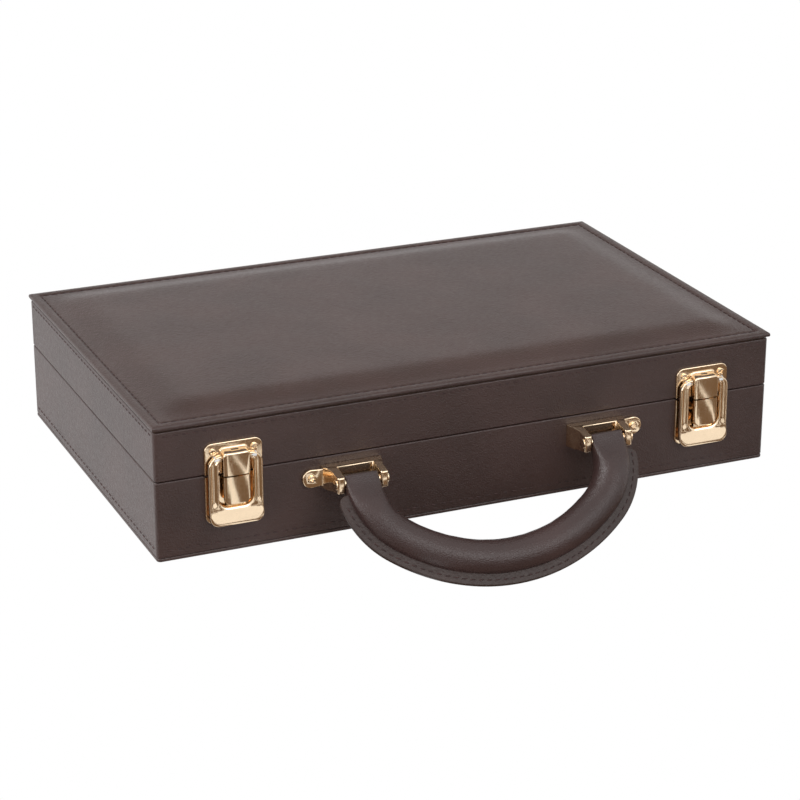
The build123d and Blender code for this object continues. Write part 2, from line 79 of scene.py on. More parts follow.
# Camera, fitted to the corners of the case in the photograph
CAMERA_AZIMUTH = -23.364
CAMERA_ELEVATION = 21.272
CAMERA_DISTANCE = 1.5558
CAMERA_TARGET = Vector((0.00553, 0.0, 0.02238))
CAMERA_LENS = 114.8
SENSOR_WIDTH = 36.0

# Base colours, changed by trial until the render came near the photograph
LEATHER = "3E2D2A"
THREAD = "2E1A18"
GOLD = "FCE3C2"


def linear(hex_colour):
    """A hex sRGB colour as linear RGBA."""
    parts = [int(hex_colour[i : i + 2], 16) / 255 for i in (0, 2, 4)]
    return tuple(c / 12.92 if c <= 0.04045 else ((c + 0.055) / 1.055) ** 2.4 for c in parts) + (1.0,)


# Materials. Each starts from what the real one is; scales come from sizes in millimetres.

def put(tree, kind, inputs=None, stops=None, **settings):
    """Add a node with its settings. An input that is a socket is linked, any other value is set."""
    node = tree.nodes.new(kind)
    for key, value in settings.items():
        setattr(node, key, value)
    for key, value in (inputs or {}).items():
        if isinstance(value, bpy.types.NodeSocket):
            tree.links.new(value, node.inputs[key])
        else:
            node.inputs[key].default_value = value
    if stops:
        elements = node.color_ramp.elements
        while len(elements) < len(stops):
            elements.new(0.5)
        for element, (place, colour) in zip(elements, stops):
            element.position = place
            element.color = colour
    return node


def material_of(name, **inputs):
    """A new material with its shader's plain values set."""
    material = bpy.data.materials.new(name)
    material.use_nodes = True
    tree = material.node_tree
    shader = tree.nodes["Principled BSDF"]
    for key, value in inputs.items():
        shader.inputs[key.replace("_", " ")].default_value = value
    point = put(tree, "ShaderNodeTexCoord").outputs["Object"]
    return material, tree, shader, point


def shade(colour, factor):
    """A hex colour made darker or lighter."""
    return tuple(min(1.0, c * factor) for c in linear(colour)[:3]) + (1.0,)


def grey(value):
    return (value, value, value, 1.0)


def leather_material(name, colour, roughness, grain):
    """Finished cowhide, embossed with fine pebbles: a satin sheen broken by its grain, and soft mottling."""
    material, tree, shader, point = material_of(name, Specular_IOR_Level=0.5)
    warp = put(tree, "ShaderNodeTexNoise", {"Vector": point, "Scale": 260.0, "Detail": 2.0})
    bent = put(tree, "ShaderNodeMix", {0: 0.0016, 4: point, 5: warp.outputs["Color"]}, data_type="VECTOR")
    pebbles = put(
        tree, "ShaderNodeTexVoronoi",
        {"Vector": bent.outputs[1], "Scale": 1 / (grain * MM), "Smoothness": 0.4}, feature="SMOOTH_F1",
    )
    creases = put(tree, "ShaderNodeTexNoise", {"Vector": point, "Scale": 420.0, "Detail": 5.0, "Roughness": 0.65})
    drift = put(tree, "ShaderNodeTexNoise", {"Vector": point, "Scale": 22.0, "Detail": 4.0})
    tone = put(tree, "ShaderNodeValToRGB", {"Fac": drift.outputs["Fac"]},
               [(0.35, shade(colour, 0.86)), (0.65, shade(colour, 1.16))])
    gloss = put(tree, "ShaderNodeValToRGB", {"Fac": creases.outputs["Fac"]},
                [(0.3, grey(roughness - 0.05)), (0.7, grey(roughness + 0.06))])
    fine = put(tree, "ShaderNodeBump", {"Height": pebbles.outputs["Distance"], "Strength": 0.6,
                                        "Distance": 0.0003})
    rough = put(tree, "ShaderNodeBump", {"Height": creases.outputs["Fac"], "Strength": 0.6, "Distance": 0.00025,
                                         "Normal": fine.outputs["Normal"]})
    tree.links.new(tone.outputs["Color"], shader.inputs["Base Color"])
    tree.links.new(gloss.outputs["Color"], shader.inputs["Roughness"])
    tree.links.new(rough.outputs["Normal"], shader.inputs["Normal"])
    return material


def metal_material(name, colour, roughness):
    """Zinc die casting, polished and plated in a pale gold: mirror-like, with faint waviness and wear."""
    material, tree, shader, point = material_of(name, Metallic=1.0)
    wear = put(tree, "ShaderNodeTexNoise", {"Vector": point, "Scale": 900.0, "Detail": 4.0})
    drift = put(tree, "ShaderNodeTexNoise", {"Vector": point, "Scale": 60.0, "Detail": 2.0})
    gloss = put(tree, "ShaderNodeValToRGB", {"Fac": wear.outputs["Fac"]},
                [(0.3, grey(roughness * 0.7)), (0.75, grey(roughness * 1.5))])
    tone = put(tree, "ShaderNodeValToRGB", {"Fac": drift.outputs["Fac"]},
               [(0.35, shade(colour, 0.93)), (0.65, shade(colour, 1.0))])
    wavy = put(tree, "ShaderNodeBump", {"Height": drift.outputs["Fac"], "Strength": 0.25, "Distance": 0.0004})
    tree.links.new(tone.outputs["Color"], shader.inputs["Base Color"])
    tree.links.new(gloss.outputs["Color"], shader.inputs["Roughness"])
    tree.links.new(wavy.outputs["Normal"], shader.inputs["Normal"])
    return material


def grained_material(name, colour, roughness, scale, depth, contrast=0.9, sheen=0.0):
    """An even material with a fine grain: the nap of cloth, fibres of board, or the skin of a moulding."""
    material, tree, shader, point = material_of(name, Roughness=roughness, Sheen_Weight=sheen)
    grain = put(tree, "ShaderNodeTexNoise", {"Vector": point, "Scale": scale, "Detail": 4.0, "Roughness": 0.6})
    tone = put(tree, "ShaderNodeValToRGB", {"Fac": grain.outputs["Fac"]},
               [(0.35, shade(colour, contrast)), (0.65, shade(colour, 1.0))])
    skin = put(tree, "ShaderNodeBump", {"Height": grain.outputs["Fac"], "Strength": 0.3, "Distance": depth * MM})
    tree.links.new(tone.outputs["Color"], shader.inputs["Base Color"])
    tree.links.new(skin.outputs["Normal"], shader.inputs["Normal"])
    return material


def thread_material(name, colour):
    """Waxed twisted thread 0.7 mm thick. Its strands are painted at 1 mm as diagonal bands, painted highlight on
    their ridges and painted shade between them, as coarse as the render can show.
    """
    material, tree, shader, point = material_of(name, Roughness=0.6)
    # Painted light: the lighter bands are painted highlight on the strands, the darker ones painted shade between
    # them
    twist_highlight_bands = put(tree, "ShaderNodeTexWave", {"Vector": point, "Scale": 160.0}, bands_direction="DIAGONAL")
    tone = put(tree, "ShaderNodeValToRGB", {"Fac": twist_highlight_bands.outputs["Fac"]},
               [(0.2, shade(colour, 1.0)), (0.9, shade(colour, 1.8))])
    tree.links.new(tone.outputs["Color"], shader.inputs["Base Color"])
    return material


def card_back_material():
    """Printed and varnished card back: a plain two-colour diamond lattice of 3 mm."""
    material, tree, shader, point = material_of("varnished_card_back", Roughness=0.4)
    turned = put(tree, "ShaderNodeMapping", {"Vector": point, "Rotation": (0, 0, math.radians(45)),
                                             "Scale": (330, 330, 330)})
    checks = put(tree, "ShaderNodeTexChecker", {"Vector": turned.outputs["Vector"], "Scale": 1.0,
                                                "Color1": linear("8C1F24"), "Color2": linear("A84548")})
    tree.links.new(checks.outputs["Color"], shader.inputs["Base Color"])
    return material


def card_edge_material():
    """Sides of a pack of cards: pale paper with fine level lines, drawn at 0.6 mm so that they show."""
    material, tree, shader, point = material_of("cut_card_edges", Roughness=0.7)
    lines = put(tree, "ShaderNodeTexWave", {"Vector": point, "Scale": 520.0}, bands_direction="Z")
    tone = put(tree, "ShaderNodeValToRGB", {"Fac": lines.outputs["Fac"]},
               [(0.1, linear("B9B2A4")), (0.5, linear("EDE8DC"))])
    tree.links.new(tone.outputs["Color"], shader.inputs["Base Color"])
    return material


leather = leather_material("embossed_cowhide", LEATHER, 0.38, 0.9)
handle_leather = leather_material("smooth_handle_cowhide", "3A2927", 0.36, 0.8)
edge_paint = leather_material("edge_painted_leather", "33231F", 0.5, 1.4)
thread = thread_material("waxed_brown_thread", THREAD)
gold = metal_material("polished_rose_gold_plate", GOLD, 0.12)
board = grained_material("raw_fibreboard", "8A6D4C", 0.9, 800.0, 0.1)
suede = grained_material("brushed_microsuede", "5A4038", 0.95, 1400.0, 0.3, 0.75, 0.5)
card_back = card_back_material()
card_edges = card_edge_material()
# Dark matt colour: the real paint in the dice pips, and painted shade on the block set in each keeper's slot
pip_paint_and_slot_shade = grained_material("dark_pip_paint_and_painted_slot_shade", "241A18", 0.6, 800.0, 0.05)
chip_plastics = {
    colour: grained_material("moulded_" + colour + "_abs", shown, 0.35, 1200.0, 0.05)
    for colour, shown in (
        ("white", "E6E1D6"), ("red", "9E1F1F"), ("green", "1F6238"), ("blue", "1E3D82"), ("black", "1C1C1E")
    )
}


# Mesh helpers. Points are in millimetres and go into the mesh in metres.

def make_piece(name, points, faces, materials, body, smooth=40.0):
    """A closed mesh with its place in its vertices, riding on a body."""
    mesh = bpy.data.meshes.new(name)
    mesh.from_pydata([Vector(p) * MM for p in points], [], faces)
    for material in materials:
        mesh.materials.append(material)
    mesh.update()
    piece = bpy.data.objects.new(name, mesh)
    bpy.context.scene.collection.objects.link(piece)
    work = bmesh.new()
    work.from_mesh(mesh)
    bmesh.ops.remove_doubles(work, verts=work.verts, dist=1e-7)
    bmesh.ops.recalc_face_normals(work, faces=work.faces)
    work.to_mesh(mesh)
    work.free()
    bpy.ops.object.select_all(action="DESELECT")
    piece.select_set(True)
    bpy.context.view_layer.objects.active = piece
    bpy.ops.object.shade_smooth_by_angle(angle=math.radians(smooth))
    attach(piece, body)
    return piece


class Shape:
    """Points and faces collected before they become a piece."""

    def __init__(self):
        self.points = []
        self.faces = []

    def tube(self, rings):
        """Rings of equal length joined in order, with both ends closed."""
        start, count = len(self.points), len(rings[0])
        for i in range(len(rings) - 1):
            for j in range(count):
                a, b = start + i * count + j, start + i * count + (j + 1) % count
                self.faces.append((a, b, b + count, a + count))
        last = start + (len(rings) - 1) * count
        self.faces.append(tuple(range(start, start + count))[::-1])
        self.faces.append(tuple(range(last, last + count)))
        self.points.extend(p for ring in rings for p in ring)

    def piece(self, name, materials, body, slot_name, smooth=40.0):
        return make_piece(name, self.points, self.faces, materials, body, smooth)


def smoothstep(value):
    value = min(max(value, 0.0), 1.0)
    return value * value * value * (value * (6 * value - 15) + 10)


def ripple(a, b, c=0.0):
    """A repeatable small unevenness between -1 and 1."""
    slow = math.sin(a * 1.7 + b * 0.9 + c)
    crossing = math.sin(a * 0.53 - b * 1.31 + 1.3 * c)
    quick = math.sin(a * 2.9 + b * 2.3 + 2.1)
    return (slow + crossing + quick) / 3


def spaced(low, high, edge_steps, middle):
    """Places from low to high: fine steps at both ends, then even ones between."""
    start = [low + step for step in edge_steps]
    end = [high - step for step in reversed(edge_steps)]
    span = end[0] - start[-1]
    count = max(2, round(span / middle))
    return start + [start[-1] + span * i / count for i in range(1, count)] + end


# Padded panel on the lid

PANEL_STITCH = 6.2
PANEL_SLOPE = 27.0
PANEL_CROWN = 3.4
EDGE_STEPS = (
    0.0, 0.2, 0.5, 0.9, 1.5, 2.5, 3.8, 4.8, 5.5, 6.0, 6.4,
    7.0, 7.8, 9.0, 11.0, 13.5, 16.5, 20.0, 24.0, 28.0, 33.0,
)


def panel_height(x, y, half_x, half_y, edge_top):
    """Height of the padded panel: border, stitched crease, soft slope, and a flat middle."""
    dx, dy = half_x - abs(x), half_y - abs(y)
    distance = min(dx, dy)
    rise = smoothstep((dx - PANEL_STITCH) / PANEL_SLOPE) * smoothstep((dy - PANEL_STITCH) / PANEL_SLOPE)
    height = edge_top + PANEL_CROWN * rise ** 0.8
    height -= 0.45 * math.exp(-(((distance - PANEL_STITCH) / 0.9) ** 2))
    height += 0.25 * math.sin(math.pi * min(distance / PANEL_STITCH, 1.0))
    if distance < 0.9:
        height -= 0.9 - math.sqrt(max(0.81 - (0.9 - distance) ** 2, 0.0))
    return height + 0.10 * rise * ripple(x / 23.0, y / 19.0)


def padded_panel():
    low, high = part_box("top_panel")
    half_x, half_y, base = high.x / MM, high.y / MM, low.z / MM
    edge_top = high.z / MM - PANEL_CROWN - 0.1
    xs = spaced(-half_x, half_x, EDGE_STEPS, 6.0)
    ys = spaced(-half_y, half_y, EDGE_STEPS, 6.0)
    points = [(x, y, panel_height(x, y, half_x, half_y, edge_top)) for y in ys for x in xs]
    columns = len(xs)
    faces = []
    for j in range(len(ys) - 1):
        for i in range(columns - 1):
            a = j * columns + i
            faces.append((a, a + 1, a + columns + 1, a + columns))
    rim = list(range(columns))
    rim += [j * columns + columns - 1 for j in range(1, len(ys))]
    rim += [(len(ys) - 1) * columns + i for i in range(columns - 2, -1, -1)]
    rim += [j * columns for j in range(len(ys) - 2, 0, -1)]
    previous = rim
    for share, inset in ((0.45, 0.0), (0.8, 0.15), (1.0, 0.7)):
        start = len(points)
        for index in rim:
            x, y, z = points[index]
            scale_x, scale_y = (half_x - inset) / half_x, (half_y - inset) / half_y
            points.append((x * scale_x, y * scale_y, z + (base - z) * share))
        current = list(range(start, start + len(rim)))
        for k in range(len(rim)):
            n = (k + 1) % len(rim)
            faces.append((previous[k], current[k], current[n], previous[n]))
        previous = current
    faces.append(tuple(previous))
    piece = make_piece("padded_lid_panel", points, faces, [leather], "lid", smooth=50)
    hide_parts("top_panel")
    return half_x, half_y, edge_top


# Stitches

STITCH_PITCH = 5.6
STITCH_LENGTH = 4.0
STITCH_SLANT = 0.06
THREAD_RADIUS = 0.36
WALL_STITCH_OUT = -0.12
WALL_STITCH_MARGIN = 4.0
CASE_STITCH_Z = 6.4
LID_STITCH_Z = 73.2
PANEL_STITCH_SINK = 0.28


def add_stitch(shape, centre, along, up, length=STITCH_LENGTH, radius=THREAD_RADIUS):
    """One stitch: a short bowed thread whose ends dip into the leather."""
    side = along.cross(up).normalized()
    rings = []
    steps = (-0.5, -0.4, -0.2, 0.0, 0.2, 0.4, 0.5)
    for step in steps:
        rise = 0.22 - 2.2 * abs(step) ** 3 * radius * 4
        middle = centre + along * (step * length) + up * rise
        size = radius * (0.55 if abs(step) > 0.45 else 1.0)
        ring = []
        for k in range(7):
            angle = 2 * math.pi * k / 7
            ring.append(middle + side * (math.cos(angle) * size) + up * (math.sin(angle) * size * 0.8))
        rings.append(ring)
    shape.tube(rings)


def stitch_line(shape, start, end, up):
    """Stitches evenly spaced between two points, slightly slanted as a machine leaves them."""
    run = end - start
    count = max(1, round(run.length / STITCH_PITCH))
    along = run.normalized()
    slant = along.cross(up).normalized() * STITCH_SLANT
    for i in range(count):
        centre = start + run * ((i + 0.5) / count)
        add_stitch(shape, centre, (along + slant).normalized(), up)


def wall_stitches(shape, z):
    """A row of stitches round all four walls at one height."""
    x, y = END_WALL + WALL_STITCH_OUT, FRONT + WALL_STITCH_OUT
    row_x, row_y = x - WALL_STITCH_MARGIN, y - WALL_STITCH_MARGIN
    for side in (-1, 1):
        stitch_line(shape, Vector((-row_x, side * y, z)), Vector((row_x, side * y, z)), Vector((0, side, 0)))
        stitch_line(shape, Vector((side * x, -row_y, z)), Vector((side * x, row_y, z)), Vector((side, 0, 0)))


def panel_stitches(half_x, half_y, edge_top):
    """The row round the lid's panel, and the one round the lid's walls."""
    shape = Shape()
    x, y = half_x - PANEL_STITCH, half_y - PANEL_STITCH
    z = edge_top - PANEL_STITCH_SINK
    up = Vector((0, 0, 1))
    for side in (-1, 1):
        stitch_line(shape, Vector((-x, side * y, z)), Vector((x, side * y, z)), up)
        stitch_line(shape, Vector((side * x, -y, z)), Vector((side * x, y, z)), up)
    wall_stitches(shape, LID_STITCH_Z)
    shape.piece("lid_stitches", [thread], "lid", "dark_leather")


def case_stitches():
    shape = Shape()
    wall_stitches(shape, CASE_STITCH_Z)
    shape.piece("case_stitches", [thread], "case", "dark_leather")


# Carrying handle

HANDLE = next(j for j in frame["joints"] if j["name"] == "handle_swing")
PIVOT = Vector(HANDLE["pos_m"]) / MM
HANDLE_ANGLE = math.radians(51.0)
HANDLE_HALF = 76.0
GRIP_RADIUS = 10.2
GRIP_TAIL = 3.8
END_HALF_HEIGHT = 4.0
END_SQUARENESS = 5.0
SWELL_FROM, SWELL_TO = 1.0, 24.0
GRIP_LEAD = 5.0
GRIP_REACH = 56.6
SIDE_RADIUS = 38.0
WELT_HEIGHT = 5.7
WELT_THICKNESS = 3.2
WELT_START = 7.0
WELT_TIP = 5.0
SEAM_OUT, SEAM_PITCH, SEAM_STITCH, SEAM_THREAD = 2.9, 4.9, 3.2, 0.34
RISE = GRIP_REACH - GRIP_LEAD
MIDDLE_RADIUS = (HANDLE_HALF**2 + RISE**2 - 2 * HANDLE_HALF * SIDE_RADIUS) / (2 * (RISE - SIDE_RADIUS))
MIDDLE_Y = GRIP_REACH - MIDDLE_RADIUS
SIDE_X = HANDLE_HALF - SIDE_RADIUS
MIDDLE_HALF = math.acos((GRIP_LEAD - MIDDLE_Y) / (MIDDLE_RADIUS - SIDE_RADIUS))
SIDE_SWEEP = math.pi / 2 - MIDDLE_HALF
OUT = Vector((0, -math.cos(HANDLE_ANGLE), -math.sin(HANDLE_ANGLE)))
UP = Vector((0, -math.sin(HANDLE_ANGLE), math.cos(HANDLE_ANGLE)))
ACROSS = Vector((1, 0, 0))


def arch(angle):
    """Point and outward direction of the three-arc arch for an angle from 0, right, to pi, left."""
    direction = (math.cos(angle), math.sin(angle))
    if angle < SIDE_SWEEP:
        centre, radius = (SIDE_X, GRIP_LEAD), SIDE_RADIUS
    elif angle > math.pi - SIDE_SWEEP:
        centre, radius = (-SIDE_X, GRIP_LEAD), SIDE_RADIUS
    else:
        centre, radius = (0.0, MIDDLE_Y), MIDDLE_RADIUS
    return (centre[0] + radius * direction[0], centre[1] + radius * direction[1]), direction


def handle_stations():
    """Places along the grip: (x, out), outward direction, and distance from the nearer pivot."""
    ends = (-GRIP_TAIL, -3.7, -3.5, -3.1, -2.4, -1.0, 1.0, 3.0)
    right = [((HANDLE_HALF, out), (1.0, 0.0), out) for out in ends]
    left = [((-HANDLE_HALF, out), (-1.0, 0.0), out) for out in reversed(ends)]
    steps = 150
    middle = []
    for i in range(steps + 1):
        angle = math.pi * i / steps
        point, direction = arch(angle)
        middle.append((point, direction, GRIP_LEAD + SIDE_RADIUS * min(angle, math.pi - angle)))
    return right + middle + left


def in_handle(x, out, up):
    return PIVOT + ACROSS * x + OUT * out + UP * up


def grip_ring(station, index):
    """One ring of the grip: a flat block at its ends, a round tube drawn in at the seam further on."""
    (x, out), direction, distance = station
    swell = (1 - math.cos(math.pi * min(max((distance - SWELL_FROM) / (SWELL_TO - SWELL_FROM), 0.0), 1.0))) / 2
    power = 2 / (END_SQUARENESS + (2 - END_SQUARENESS) * swell)
    tip = max(0.9 - (distance + GRIP_TAIL), 0.0)
    trim = 0.9 - math.sqrt(max(0.81 - tip * tip, 0.0))
    half_wide = GRIP_RADIUS - trim
    half_high = END_HALF_HEIGHT + (GRIP_RADIUS - END_HALF_HEIGHT) * swell - trim
    ring = []
    for k in range(64):
        angle = 2 * math.pi * k / 64
        outward, upward = math.cos(angle), math.sin(angle)
        wide = half_wide * math.copysign(abs(outward) ** power, outward)
        high = half_high * math.copysign(abs(upward) ** power, upward)
        fade = smoothstep((distance - 3.0) / 14.0)
        from_seam = abs(angle if angle < math.pi else angle - 2 * math.pi)
        dip = -0.45 * fade * math.exp(-(((from_seam - 0.20) / 0.13) ** 2))
        dip += 0.10 * smoothstep((-outward - 0.1) / 0.9) * fade * ripple(index * 0.45, 3.0 * angle)
        dip += 0.07 * fade * ripple(index * 0.17, angle, 2.0)
        wide += dip * outward
        high += dip * upward
        ring.append(in_handle(x + direction[0] * wide, out + direction[1] * wide, high))
    return ring


def handle_grip():
    shape = Shape()
    stations = handle_stations()
    shape.tube([grip_ring(s, i) for i, s in enumerate(stations)])
    piece = shape.piece("leather_grip", [handle_leather], "handle", "dark_leather", 60)
    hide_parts("handle_grip")


def welt_share(distance):
    """Height of the welt as a share: rounded off over its last millimetres."""
    into = (distance - WELT_START) / WELT_TIP
    if into <= 0:
        return 0.0
    return 1.0 if into >= 1 else math.sqrt(1 - (1 - into) ** 2)


def handle_welt():
    shape = Shape()
    rings = []
    steps = 220
    first = (WELT_START - GRIP_LEAD) / (SIDE_RADIUS + GRIP_RADIUS)
    for i in range(steps + 1):
        angle = first + (math.pi - 2 * first) * i / steps
        (x, out), direction = arch(angle)
        distance = GRIP_LEAD + (SIDE_RADIUS + GRIP_RADIUS) * min(angle, math.pi - angle)
        height = 0.4 + WELT_HEIGHT * welt_share(distance)
        half = WELT_THICKNESS / 2
        root = GRIP_RADIUS - 1.2
        outline = []
        sides = ((0.0, 1.0), (0.25, 0.93), (0.6, 0.86), (0.85, 0.82), (0.95, 0.72), (1.0, 0.45))
        for share, thick in sides:
            outline.append((root + (height + 1.2) * share, half * thick))
        outline.append((root + (height + 1.2) * 0.985, 0.0))
        outline += [(r, -t) for r, t in reversed(outline[:-1])]
        rings.append([in_handle(x + direction[0] * r, out + direction[1] * r, t) for r, t in outline])
    shape.tube(rings)
    piece = shape.piece("stitched_welt", [edge_paint], "handle", "dark_leather", 50)
    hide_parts("handle_welt")


def welt_stitches():
    """A row of stitches along each side of the welt."""
    shape = Shape()
    radius = GRIP_RADIUS + SEAM_OUT
    first = (WELT_START + 4.5 - GRIP_LEAD) / (SIDE_RADIUS + radius)
    angle = first
    while angle < math.pi - first:
        (x, out), direction = arch(angle)
        outward = ACROSS * direction[0] + OUT * direction[1]
        along = ACROSS * -direction[1] + OUT * direction[0]
        for face in (-1, 1):
            level = face * (WELT_THICKNESS / 2 * 0.86)
            centre = in_handle(x + direction[0] * radius, out + direction[1] * radius, level)
            slanted = (along + outward * 0.10).normalized()
            add_stitch(shape, centre, slanted, UP * face, SEAM_STITCH, SEAM_THREAD)
        local = MIDDLE_RADIUS if SIDE_SWEEP < angle < math.pi - SIDE_SWEEP else SIDE_RADIUS
        angle += SEAM_PITCH / (local + radius)
    shape.piece("handle_stitches", [thread], "handle", "dark_leather")


# Hard pieces, shaped with Blender's operators, apart from bow(), which moves vertices itself

def deselect():
    if bpy.context.object and bpy.context.object.mode != "OBJECT":
        bpy.ops.object.mode_set(mode="OBJECT")
    bpy.ops.object.select_all(action="DESELECT")


def block(low, high):
    """A box between two corners in millimetres."""
    deselect()
    low, high = Vector(low), Vector(high)
    bpy.ops.mesh.primitive_cube_add(size=1, location=(low + high) / 2 * MM)
    piece = bpy.context.object
    piece.scale = (high - low) * MM
    bpy.ops.object.transform_apply(location=True, rotation=True, scale=True)
    return piece


def front_block(x0, half, z_low, z_high, out_low, out_high):
    """A box on the case's front, between two distances out from it."""
    return block((x0 - half, -FRONT - out_high, z_low), (x0 + half, -FRONT - out_low, z_high))


def rod(centre, axis, radius, length, sides=40, edge=0.25):
    """A turned bar in millimetres with its two rims rounded off."""
    deselect()
    turns = {"X": (0, math.pi / 2, 0), "Y": (math.pi / 2, 0, 0), "Z": (0, 0, 0)}
    bpy.ops.mesh.primitive_cylinder_add(
        vertices=sides, radius=radius * MM, depth=length * MM, location=Vector(centre) * MM, rotation=turns[axis]
    )
    bpy.ops.object.transform_apply(location=True, rotation=True, scale=True)
    piece = bpy.context.object
    if edge:
        pick(piece, "FACE", lambda face: len(face.verts) == sides)
        bpy.ops.mesh.region_to_loop()
        bpy.ops.mesh.bevel(offset=edge * MM, segments=2, affect="EDGES")
    deselect()
    return piece


def pick(piece, kind, wanted):
    """Go into edit mode with just the wanted vertices, edges or faces selected."""
    deselect()
    piece.select_set(True)
    bpy.context.view_layer.objects.active = piece
    bpy.ops.object.mode_set(mode="EDIT")
    bpy.ops.mesh.select_mode(type=kind)
    bpy.ops.mesh.select_all(action="DESELECT")
    work = bmesh.from_edit_mesh(piece.data)
    for item in {"VERT": work.verts, "EDGE": work.edges, "FACE": work.faces}[kind]:
        if wanted(item):
            item.select_set(True)
    work.select_flush_mode()
    bmesh.update_edit_mesh(piece.data)


def near(value, target):
    """Whether a mesh coordinate is at a place in millimetres."""
    return abs(value / MM - target) < 0.01


def round_corners(piece, across, z, radius):
    """Round the corner edges that run out from the front, at given x places and one height."""
    def corner(edge):
        first, last = (v.co for v in edge.verts)
        same = near(first.x - last.x, 0) and near(first.z - last.z, 0) and near(first.z, z)
        return same and any(near(first.x, x) for x in across)
    pick(piece, "EDGE", corner)
    bpy.ops.mesh.bevel(offset=radius * MM, segments=8, affect="EDGES")
    deselect()


def soften_front(piece, out, radius, skip_z=None):
    """Round off the rim of the face that stands furthest out, apart from its edge at one height."""
    def rim(edge):
        if not all(near(v.co.y, -FRONT - out) for v in edge.verts):
            return False
        if skip_z is not None and all(near(v.co.z, skip_z) for v in edge.verts):
            return False
        return any(abs(face.normal.y) < 0.9 for face in edge.link_faces)
    pick(piece, "EDGE", rim)
    bpy.ops.mesh.bevel(offset=radius * MM, segments=4, affect="EDGES")
    deselect()


def slice_across(piece, places):
    """Cut the whole piece with upright planes so that its face can be bowed."""
    for x in places:
        pick(piece, "FACE", lambda face: True)
        bpy.ops.mesh.bisect(plane_co=(x * MM, 0, 0), plane_no=(1, 0, 0))
    deselect()


def bow(piece, x0, half, fall, from_out):
    """Bow the front of a piece: its sides fall back, its middle stays."""
    for vertex in piece.data.vertices:
        out = -vertex.co.y / MM - FRONT
        if out > from_out:
            share = (vertex.co.x / MM - x0) / half
            vertex.co.y += fall * share * share * MM


def join(pieces):
    deselect()
    for piece in pieces:
        piece.select_set(True)
    bpy.context.view_layer.objects.active = pieces[0]
    bpy.ops.object.join()
    return bpy.context.object


def cut(piece, cutter):
    """Cut one shape out of another and throw the cutter away."""
    deselect()
    bpy.context.view_layer.objects.active = piece
    hole = piece.modifiers.new("cut", "BOOLEAN")
    hole.operation, hole.solver, hole.object = "DIFFERENCE", "EXACT", cutter
    bpy.ops.object.modifier_apply(modifier=hole.name)
    bpy.data.objects.remove(cutter)


def finish(piece, name, body, materials, replaces=None, edges=0.0, smooth=35.0):
    """Break the sharp edges, name and smooth the piece, and hang it on its body."""
    deselect()
    piece.name = piece.data.name = name
    piece.select_set(True)
    bpy.context.view_layer.objects.active = piece
    if edges:
        bevel = piece.modifiers.new("edges", "BEVEL")
        bevel.width, bevel.segments, bevel.limit_method = edges * MM, 3, "ANGLE"
        bevel.angle_limit, bevel.use_clamp_overlap = math.radians(50), False
        bpy.ops.object.modifier_apply(modifier=bevel.name)
    for material in materials:
        if material.name not in piece.data.materials:
            piece.data.materials.append(material)
    bpy.ops.object.shade_smooth_by_angle(angle=math.radians(smooth))
    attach(piece, body)
    if replaces:
        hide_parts(*replaces)
    return piece


def copy_of(node):
    """A merged copy of a CAD node's mesh, with its flat faces made whole."""
    piece = bpy.data.objects.new(node, frame["nodes"][node].data.copy())
    piece.data.materials.clear()
    bpy.context.scene.collection.objects.link(piece)
    pick(piece, "VERT", lambda vertex: True)
    bpy.ops.mesh.remove_doubles(threshold=0.000005)
    bpy.ops.mesh.dissolve_limited(angle_limit=math.radians(0.5))
    deselect()
    return piece


# Latches

LEVER_HALF = 15.75
LEVER_TOP = 59.1
LEVER_BOTTOM = 18.3
KNEE_Z = 27.5
OUT_TOP, OUT_KNEE, OUT_TIP = 5.4, 5.6, 7.7
SHEET = 2.2
WINDOW_HALF = 9.9
WINDOW_BOTTOM = 28.6
WINDOW_TOP = 55.5
HORN_X = 8.25
HOOD_HALF = 7.75
HOOD_FRONT = 7.8
HOOD_TOP = 62.0
HOOD_SHOULDER = 60.8
SEAM_LOW, SEAM_HIGH = 46.3, 47.7
PLATE_HALF, PLATE_OUT = 16.7, 1.5
TONGUE_HALF, TONGUE_LOW, TONGUE_TOP = 7.5, 30.7, 46.9
PIN_OUT, PIN_Z = 3.9, 57.2
LATCH_X = 145.3
LEVER_CORNER, LEVER_SHOULDER, WINDOW_CORNER = 5.0, 7.0, 5.5
EYE_X, EYE_RADIUS, EYE_LENGTH = 10.2, 1.5, 3.9
TONGUE_CORNER, TONGUE_EDGE, LEAF_HALF, LEAF_BOTTOM = 3.4, 0.7, 5.5, 21.5
PLATE_TOP, PLATE_BOTTOM, PLATE_CORNER, PLATE_EDGE = 65.5, 18.4, 4.5, 0.5
FOOT_HALF, FOOT_TOP, FOOT_OUT = HOOD_HALF + 0.45, HOOD_TOP + 0.9, 2.4
BOW_FALL = 0.55


def lean(z):
    """How far the lever's face stands out at a height: upright to a knee, then flared to the lip."""
    if z > KNEE_Z:
        return OUT_TOP + (OUT_KNEE - OUT_TOP) * (LEVER_TOP - z) / (LEVER_TOP - KNEE_Z)
    return OUT_KNEE + (OUT_TIP - OUT_KNEE) * (KNEE_Z - z) / (KNEE_Z - LEVER_BOTTOM)


def on_front(x0, x, out, z):
    return Vector((x0 + x, -FRONT - out, z))


def u_path(half, bottom, corner, top, top_corner):
    """Right half of the lever's outline or window: up from the bottom, round, and in to the hood."""
    points = [((half - corner) * i / 6, bottom) for i in range(6)]
    for i in range(13):
        angle = math.pi / 2 * i / 12
        points.append((half - corner + corner * math.sin(angle), bottom + corner - corner * math.cos(angle)))
    low, high = bottom + corner, top - top_corner
    points += [(half, low + (high - low) * i / 14) for i in range(1, 14)]
    for i in range(13):
        angle = math.pi / 2 * i / 12
        points.append((half - top_corner + top_corner * math.cos(angle), high + top_corner * math.sin(angle)))
    return points + [(HORN_X, top)]


